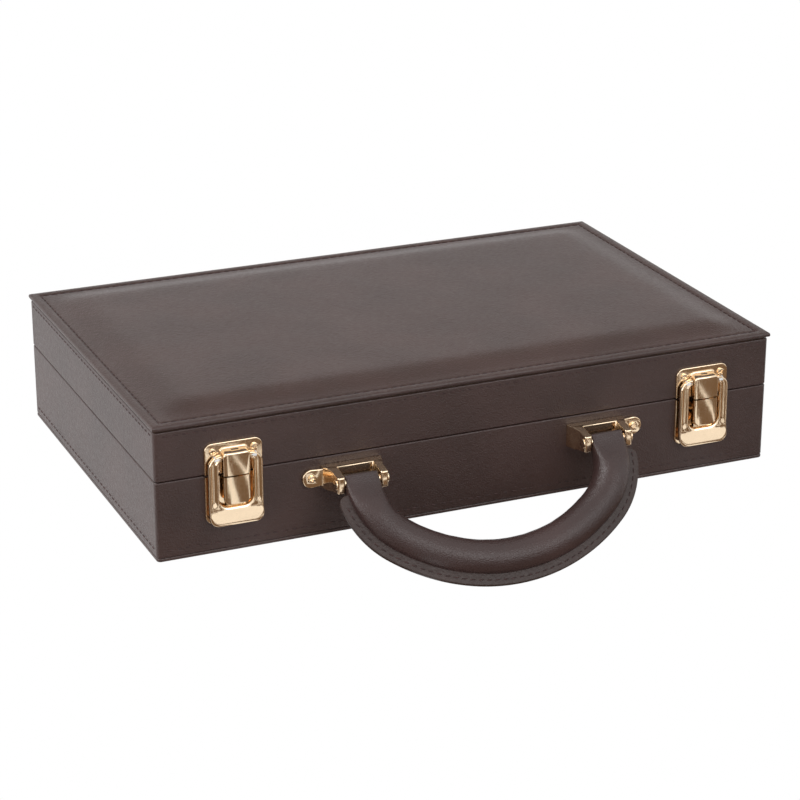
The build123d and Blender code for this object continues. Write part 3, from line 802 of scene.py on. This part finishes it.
# Across an arm from its outer edge to the window: share of the width, and height against the face.
ARM_SECTION = (
    (0.0, -1.8), (0.0, -1.2), (0.015, -0.75), (0.045, -0.4), (0.09, -0.15), (0.14, -0.02), (0.18, 0.0),
    (0.225, -0.1), (0.27, -0.34), (0.315, -0.62), (0.37, -0.8), (0.5, -0.9), (0.63, -0.8), (0.685, -0.62),
    (0.73, -0.34), (0.775, -0.1), (0.82, 0.0), (0.87, -0.04), (0.92, -0.2), (0.965, -0.5), (0.99, -0.95),
    (1.0, -1.6),
)
BACK_SHARES = (1.0, 0.5, 0.0)


def lever_ring(x0):
    """The pressed sheet of the lever: two beads with a hollow between, which ends at the flat lip."""
    outer = u_path(LEVER_HALF, LEVER_BOTTOM, LEVER_CORNER, LEVER_TOP, LEVER_SHOULDER)
    inner = u_path(WINDOW_HALF, WINDOW_BOTTOM, WINDOW_CORNER, WINDOW_TOP, WINDOW_HALF - HORN_X)
    pairs = list(zip(outer, inner))
    pairs = [((-a[0], a[1]), (-b[0], b[1])) for a, b in reversed(pairs[1:])] + pairs
    shape = Shape()
    rings = []
    for (ox, oz), (ix, iz) in pairs:
        ring = []
        for share, height in ARM_SECTION:
            x, z = ox + (ix - ox) * share, oz + (iz - oz) * share
            if 0.18 < share < 0.82:
                height *= smoothstep((z - 29.5) / 2.2) * smoothstep((abs(x) - HORN_X - 0.6) / 3.0)
            ring.append(on_front(x0, x, lean(z) + height, z))
        for share in BACK_SHARES:
            x, z = ox + (ix - ox) * share, oz + (iz - oz) * share
            ring.append(on_front(x0, x, lean(z) - SHEET, z))
        rings.append(ring)
    shape.tube(rings)
    return shape


def screw_head():
    """A pan head 4 mm wide with a cross recess, standing on the origin along Z."""
    head = rod((0, 0, 0.45), "Z", 2.0, 0.9, 32, 0)
    pick(head, "FACE", lambda face: face.normal.z > 0.9)
    bpy.ops.mesh.inset(thickness=0.35 * MM, depth=0.0)
    bpy.ops.transform.translate(value=(0, 0, 0.12 * MM))
    deselect()
    for size in ((1.25, 0.26, 0.5), (0.26, 1.25, 0.5)):
        cut(head, block((-size[0], -size[1], 1.02 - size[2]), (size[0], size[1], 1.02 + size[2])))
    return head


def screws(head, name, node, body, places, back=False):
    """A copy of the screw head at each place, turned at random-looking angles."""
    copies = []
    for i, (x, z, out) in enumerate(places):
        piece = bpy.data.objects.new(name, head.data.copy())
        bpy.context.scene.collection.objects.link(piece)
        turn = Matrix.Rotation(math.radians(90 if not back else -90), 4, "X")
        spin = Matrix.Rotation(math.radians(37 * i + 12), 4, "Z")
        y = FRONT + out if back else -FRONT - out
        piece.data.transform(Matrix.Translation(Vector((x, y, z)) * MM) @ turn @ spin)
        copies.append(piece)
    finish(join(copies), name, body, [gold], [node])


def latch(x0, side):
    """One latch: its lever, the tongue on the lever, the hooded keeper, and the plate with the catch."""
    body = "latch_" + side
    lever = lever_ring(x0).piece("lever_" + side, [gold], body, "gold", 38)
    # A known fault: the eyes join without a material and keep none, so they aren't gold
    eyes = [
        rod(on_front(x0, turn * EYE_X, PIN_OUT, PIN_Z), "X", EYE_RADIUS, EYE_LENGTH, 24) for turn in (-1, 1)
    ]
    finish(join([lever] + eyes), "lever_" + side, body, [gold], ["latch_lever_" + side], smooth=38)

    tongue = front_block(x0, TONGUE_HALF, TONGUE_LOW, TONGUE_TOP, 5.0, HOOD_FRONT)
    round_corners(tongue, (x0 - TONGUE_HALF, x0 + TONGUE_HALF), TONGUE_LOW, TONGUE_CORNER)
    slice_across(tongue, [x0 + x for x in (-6, -4, -2, 0, 2, 4, 6)])
    soften_front(tongue, HOOD_FRONT, TONGUE_EDGE, TONGUE_TOP)
    bow(tongue, x0, TONGUE_HALF, BOW_FALL, 6.5)
    neck = front_block(x0, LEAF_HALF, 31.2, 36.0, 2.5, 5.1)
    leaf = front_block(x0, LEAF_HALF, LEAF_BOTTOM, 34.0, 2.5, 3.4)
    pick(leaf, "FACE", lambda face: True)
    bpy.ops.mesh.bisect(plane_co=(0, 0, KNEE_Z * MM), plane_no=(0, 0, 1))
    pick(leaf, "VERT", lambda vertex: near(vertex.co.z, LEAF_BOTTOM))
    bpy.ops.transform.translate(value=(0, -1.3 * MM, 0))
    finish(join([tongue, neck, leaf]), "tongue_" + side, body, [gold], ["latch_tongue_" + side])

    plate = front_block(x0, PLATE_HALF, SEAM_HIGH, PLATE_TOP, 0.0, PLATE_OUT)
    round_corners(plate, (x0 - PLATE_HALF, x0 + PLATE_HALF), PLATE_TOP, PLATE_CORNER)
    soften_front(plate, PLATE_OUT, PLATE_EDGE, SEAM_HIGH)
    foot = front_block(x0, FOOT_HALF, SEAM_HIGH, FOOT_TOP, 1.2, FOOT_OUT)
    round_corners(foot, (x0 - FOOT_HALF, x0 + FOOT_HALF), FOOT_TOP, 2.6)
    soften_front(foot, FOOT_OUT, 1.0, SEAM_HIGH)
    hood = front_block(x0, HOOD_HALF, SEAM_HIGH, HOOD_TOP, 0.5, HOOD_FRONT)
    pick(hood, "VERT", lambda vertex: near(vertex.co.z, HOOD_TOP) and near(vertex.co.y, -FRONT - HOOD_FRONT))
    bpy.ops.transform.translate(value=(0, 0, (HOOD_SHOULDER - HOOD_TOP) * MM))

    def top_corner(edge):
        first, last = (v.co for v in edge.verts)
        high = min(first.z, last.z) > 58 * MM
        return high and near(first.x, last.x / MM) and abs(first.y - last.y) > MM
    pick(hood, "EDGE", top_corner)
    bpy.ops.mesh.bevel(offset=2.2 * MM, segments=7, affect="EDGES")
    slice_across(hood, [x0 + x for x in (-5, -3, -1, 1, 3, 5)])
    soften_front(hood, HOOD_FRONT, 0.8, SEAM_HIGH)
    bow(hood, x0, HOOD_HALF, BOW_FALL, 6.4)
    cut(hood, front_block(x0, 2.1, 60.7, 63.0, 2.9, 4.3))
    finish(join([plate, foot, hood]), "keeper_" + side, "lid", [gold], ["latch_keeper_" + side])
    # A thin dark block at the bottom of the slot cut in the hood: painted shade in the recess
    shadow = front_block(x0, 2.05, 60.6, 61.05, 2.95, 4.25)
    finish(shadow, "painted_keeper_slot_shade_" + side, "lid", [pip_paint_and_slot_shade])

    low_plate = front_block(x0, PLATE_HALF, PLATE_BOTTOM, SEAM_LOW, 0.0, PLATE_OUT)
    round_corners(low_plate, (x0 - PLATE_HALF, x0 + PLATE_HALF), PLATE_BOTTOM, PLATE_CORNER)
    soften_front(low_plate, PLATE_OUT, PLATE_EDGE, SEAM_LOW)
    catch = front_block(x0, 5.0, 37.0, 42.0, 1.0, 4.4)
    pick(catch, "VERT", lambda vertex: near(vertex.co.z, 37.0) and vertex.co.y < -(FRONT + 3) * MM)
    bpy.ops.transform.translate(value=(0, 2.7 * MM, 0))
    finish(join([low_plate, catch]), "base_plate_" + side, "case", [gold], ["latch_base_plate_" + side])


# Screws: how far across from the middle of what they hold, their height, and how far out they stand
KEEPER_SCREW_X, KEEPER_SCREW_Z = 12.1, 60.5
PLATE_SCREW_X, PLATE_SCREW_Z = 11.0, 24.0
EAR_SCREW_X, EAR_SCREW_OUT = 100.2, 2.2
HINGE_X, HINGE_SCREW_X, HINGE_SCREW_RISE, HINGE_SCREW_OUT = 110.0, 13.0, 9, 1.2
SWING_OUT, SWING_Z = 15.0, 35.5


def fixings():
    """Every screw: two on each latch plate, one in each bracket's ear, four on each hinge."""
    head = screw_head()
    latches = (-LATCH_X, LATCH_X)
    hinges = [side * HINGE_X + turn * HINGE_SCREW_X for side in (-1, 1) for turn in (-1, 1)]
    keepers = [(x + turn * KEEPER_SCREW_X, KEEPER_SCREW_Z, PLATE_OUT) for x in latches for turn in (-1, 1)]
    plates = [(x + turn * PLATE_SCREW_X, PLATE_SCREW_Z, PLATE_OUT) for x in latches for turn in (-1, 1)]
    ears = [(side * EAR_SCREW_X, SWING_Z, EAR_SCREW_OUT) for side in (-1, 1)]
    upper = [(x, SPLIT + HINGE_SCREW_RISE, HINGE_SCREW_OUT) for x in hinges]
    lower = [(x, SPLIT - HINGE_SCREW_RISE, HINGE_SCREW_OUT) for x in hinges]
    screws(head, "keeper_screws", "latch_keeper_screws", "lid", keepers)
    screws(head, "plate_screws", "latch_base_screws", "case", plates)
    screws(head, "bracket_screws", "handle_bracket_screws", "case", ears)
    screws(head, "hinge_fixings_upper", "hinge_screws_upper", "lid", upper, True)
    screws(head, "hinge_fixings_lower", "hinge_screws_lower", "case", lower, True)
    bpy.data.objects.remove(head)


def swing_pins():
    """A pin through each bracket, with a low head on the outside of either arm."""
    bars = []
    y = -FRONT - SWING_OUT
    for side in (-1, 1):
        bars.append(rod((side * HANDLE_HALF, y, SWING_Z), "X", 2.0, 30.4, 32, 0.2))
        for turn in (-1, 1):
            bars.append(rod((side * HANDLE_HALF + turn * 15.3, y, SWING_Z), "X", 3.0, 0.9, 40, 0.4))
    finish(join(bars), "swing_pins", "case", [gold], ["handle_pins"])


def brackets():
    for side in ("left", "right"):
        piece = copy_of("handle_bracket_" + side)
        finish(piece, "bracket_" + side, "case", [gold], ["handle_bracket_" + side], edges=0.55)


# Chips, cards, button and dice

CHIP_RADIUS, CHIP_THICKNESS, CHIP_SIDES = 19.5, 3.3, 24
ROLL = 25
CHIP_ROWS = (
    (-88.1, ("white", "white", "white", "black")),
    (-45.5, ("red", "red", "red", "black")),
    (-2.9, ("green", "green", "blue", "blue")),
)
CHIP_AXIS_Z = 29.3


def chips():
    """300 plain chips with rounded rims and no edge spots, each turned its own way in its roll."""
    chip = rod((0, 0, 0), "X", CHIP_RADIUS, CHIP_THICKNESS - 0.06, CHIP_SIDES, 0.45)
    for colour, plastic in chip_plastics.items():
        copies = []
        for y, rolls in CHIP_ROWS:
            for place, name in enumerate(rolls):
                for i in range(ROLL if name == colour else 0):
                    piece = bpy.data.objects.new(colour, chip.data.copy())
                    bpy.context.scene.collection.objects.link(piece)
                    x = (place - 2) * ROLL * CHIP_THICKNESS + (i + 0.5) * CHIP_THICKNESS
                    turn = Matrix.Rotation(i * 2.4 + place, 4, "X")
                    piece.data.transform(Matrix.Translation(Vector((x, y, CHIP_AXIS_Z)) * MM) @ turn)
                    copies.append(piece)
        finish(join(copies), "stacked_chips_" + colour, "case", [plastic],
               ["chips_" + colour])
    bpy.data.objects.remove(chip)


def card_decks():
    for side, x in (("left", -121.0), ("right", 121.0)):
        deck = block((x - 44, 33.0, 9.5), (x + 44, 96.0, 27.5))
        pick(deck, "EDGE", lambda edge: abs(edge.verts[0].co.z - edge.verts[1].co.z) > MM)
        bpy.ops.mesh.bevel(offset=3.0 * MM, segments=6, affect="EDGES")
        deselect()
        for face in deck.data.polygons:
            face.material_index = face.normal.z < 0.9
        finish(deck, "cards_" + side, "case", [card_back, card_edges], ["card_deck_" + side], 0.12)


def dice():
    """Five dice with round edges and dark pips."""
    far = 4.2
    faces = {1: [(0, 0)], 2: [(-far, -far), (far, far)], 3: [(-far, -far), (0, 0), (far, far)],
             4: [(-far, -far), (far, far), (-far, far), (far, -far)]}
    cubes, pips = [], []
    for i, top in enumerate((3, 1, 4, 2, 3)):
        x, y, z = -32.6 + 16.3 * i, 88.0, 19.5
        cube = block((x - 8, y - 8, z - 8), (x + 8, y + 8, z + 8))
        pick(cube, "EDGE", lambda edge: True)
        bpy.ops.mesh.bevel(offset=1.6 * MM, segments=4, affect="EDGES")
        cubes.append(cube)
        pips += [rod((x + px, y + py, z + 7.97), "Z", 1.45, 0.12, 20, 0) for px, py in faces[top]]
        pips += [rod((x + px, y - 7.97, z + pz), "Y", 1.45, 0.12, 20, 0) for px, pz in faces[5 - top]]
    finish(join(cubes), "game_dice", "case", [chip_plastics["white"]], ["dice"])
    finish(join(pips), "dice_pips", "case", [pip_paint_and_slot_shade])


def dealer_button():
    """A turned disc with a raised rim and a shallow ring, left plain."""
    disc = rod((0, 50.0, 25.0), "Z", 20.0, 5.0, 72, 0.8)
    pick(disc, "FACE", lambda face: face.normal.z > 0.9)
    for thickness, depth in ((1.6, 0.0), (0.4, -0.5), (4.2, 0.0), (0.3, -0.3), (0.8, 0.0), (0.3, 0.3)):
        bpy.ops.mesh.inset(thickness=thickness * MM, depth=depth * MM)
    finish(disc, "plain_dealer_button", "case", [chip_plastics["white"]], ["dealer_button"])


# CAD nodes whose shape is right keep it and get their finish here

def finish_node(name, material):
    node = frame["nodes"][name]
    node.data.materials.clear()
    node.data.materials.append(material)


def dress_nodes():
    for name in ("case_leather", "lid_leather", "base_panel"):
        finish_node(name, leather)
    for name in ("case_shell", "lid_shell"):
        finish_node(name, board)
    finish_node("panel_spacer", edge_paint)
    for name in ("case_lining", "lid_lining", "chip_tray"):
        finish_node(name, suede)
    for name in ("handle_bushes", "hinge_leaves_lower", "hinge_leaves_upper", "hinge_pins",
                 "latch_pin_left", "latch_pin_right"):
        finish_node(name, gold)


# Camera, light and floor

def camera():
    azimuth, elevation = math.radians(CAMERA_AZIMUTH), math.radians(CAMERA_ELEVATION)
    level = math.cos(elevation)
    back = Vector((math.sin(azimuth) * level, -math.cos(azimuth) * level, math.sin(elevation)))
    data = bpy.data.cameras.new("camera")
    data.lens = CAMERA_LENS
    data.sensor_width = SENSOR_WIDTH
    data.clip_start, data.clip_end = 0.05, 20.0
    item = bpy.data.objects.new("camera", data)
    bpy.context.scene.collection.objects.link(item)
    item.location = CAMERA_TARGET + back * CAMERA_DISTANCE
    item.rotation_mode = "QUATERNION"
    item.rotation_quaternion = (-back).to_track_quat("-Z", "Y")
    bpy.context.scene.camera = item


def area_light(name, place, target, size, power):
    """A white rectangular lamp: place, target and size in metres, power in watts."""
    data = bpy.data.lights.new(name, "AREA")
    data.shape = "RECTANGLE"
    data.size, data.size_y = size
    data.energy = power
    item = bpy.data.objects.new(name, data)
    bpy.context.scene.collection.objects.link(item)
    item.location = place
    item.rotation_mode = "QUATERNION"
    item.rotation_quaternion = (Vector(target) - Vector(place)).to_track_quat("-Z", "Y")


def backdrop_share(tree):
    """1 for what the camera sees straight, in a reflection or through glass, and 0 for the light itself."""
    path = put(tree, "ShaderNodeLightPath")
    shown = path.outputs["Is Camera Ray"]
    for name in ("Is Glossy Ray", "Is Transmission Ray"):
        shown = put(tree, "ShaderNodeMath", {0: shown, 1: path.outputs[name]}, operation="MAXIMUM").outputs[0]
    return shown


def world():
    """White where it is seen, softer as light."""
    studio = bpy.data.worlds.new("studio")
    bpy.context.scene.world = studio
    studio.use_nodes = True
    tree = studio.node_tree
    strength = put(tree, "ShaderNodeMapRange", {"Value": backdrop_share(tree), "To Min": 0.55, "To Max": 1.0})
    background = tree.nodes["Background"]
    background.inputs["Color"].default_value = grey(1.0)
    tree.links.new(strength.outputs["Result"], background.inputs["Strength"])


def floor():
    """A white floor just under the hanging handle. The camera sees it plain white, without a shadow."""
    low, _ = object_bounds()
    deselect()
    bpy.ops.mesh.primitive_plane_add(size=12, location=(0, 0, low.z - 0.5 * MM))
    item = bpy.context.object
    item.name = "floor"
    material, tree, shader, _ = material_of("white_paper", Base_Color=grey(0.85), Roughness=0.9)
    white = put(tree, "ShaderNodeEmission", {"Color": grey(1.0), "Strength": 1.0})
    mix = put(tree, "ShaderNodeMixShader", {0: backdrop_share(tree), 1: shader.outputs[0], 2: white.outputs[0]})
    tree.links.new(mix.outputs[0], tree.nodes["Material Output"].inputs["Surface"])
    item.data.materials.append(material)
    item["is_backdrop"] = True


def reflected_card(name, low, high):
    """A dark brown card that only reflections show. Without it the metal mirrors plain white."""
    card = block(low, high)
    card.name = name
    material, _, shader, _ = material_of(name, Base_Color=grey(0.0), Roughness=1.0, Specular_IOR_Level=0.0)
    shader.inputs["Emission Color"].default_value = linear(CARD_COLOUR)
    shader.inputs["Emission Strength"].default_value = 1.0
    card.data.materials.append(material)
    card.visible_camera = card.visible_diffuse = card.visible_shadow = False
    card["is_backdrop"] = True


CARD_COLOUR = "75614F"
# Left and right edges of the strips on the floor, in millimetres, then three bands of them by their y.
# The gaps light the edges of the latches' bowed faces, and the middle band the fronts of the bracket arms.
WIDE_STRIPS = ((-700, -135), (-113, -62), (-46, 156), (178, 229), (246, 700))
MIDDLE_STRIPS = ((-700, -135), (-113, -62), (15, 105), (178, 229), (246, 700))
CARD_BANDS = ((-256, -128, WIDE_STRIPS), (-292, -256, MIDDLE_STRIPS), (-760, -292, WIDE_STRIPS))


def cards():
    """Strips on the floor in front, and one behind that darkens the sheen of the top's near edge."""
    low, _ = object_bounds()
    z = low.z / MM
    for band, (near_y, far_y, strips) in enumerate(CARD_BANDS):
        for i, (left, right) in enumerate(strips):
            name = "front_card_" + str(band) + "_" + str(i)
            reflected_card(name, (left, near_y, z - 0.4), (right, far_y, z - 0.3))
    reflected_card("back_card", (-1500.0, 1500.0, 800.0), (3500.0, 1502.0, 2600.0))


camera()
dress_nodes()
panel = padded_panel()
panel_stitches(*panel)
case_stitches()
handle_grip()
handle_welt()
welt_stitches()
latch(-LATCH_X, "left")
latch(LATCH_X, "right")
fixings()
swing_pins()
brackets()
chips()
card_decks()
dice()
dealer_button()
world()
floor()
cards()
area_light("key", (-1.6, 0.6, 1.9), (0, 0, 0.05), (1.6, 1.6), 42)
area_light("front_fill", (0.6, -2.2, 1.2), (0, 0, 0.03), (1.8, 1.2), 16)
area_light("left_fill", (-2.2, -0.8, 0.6), (0, 0, 0.04), (1.0, 1.0), 8)
bpy.context.scene.view_settings.view_transform = "Standard"
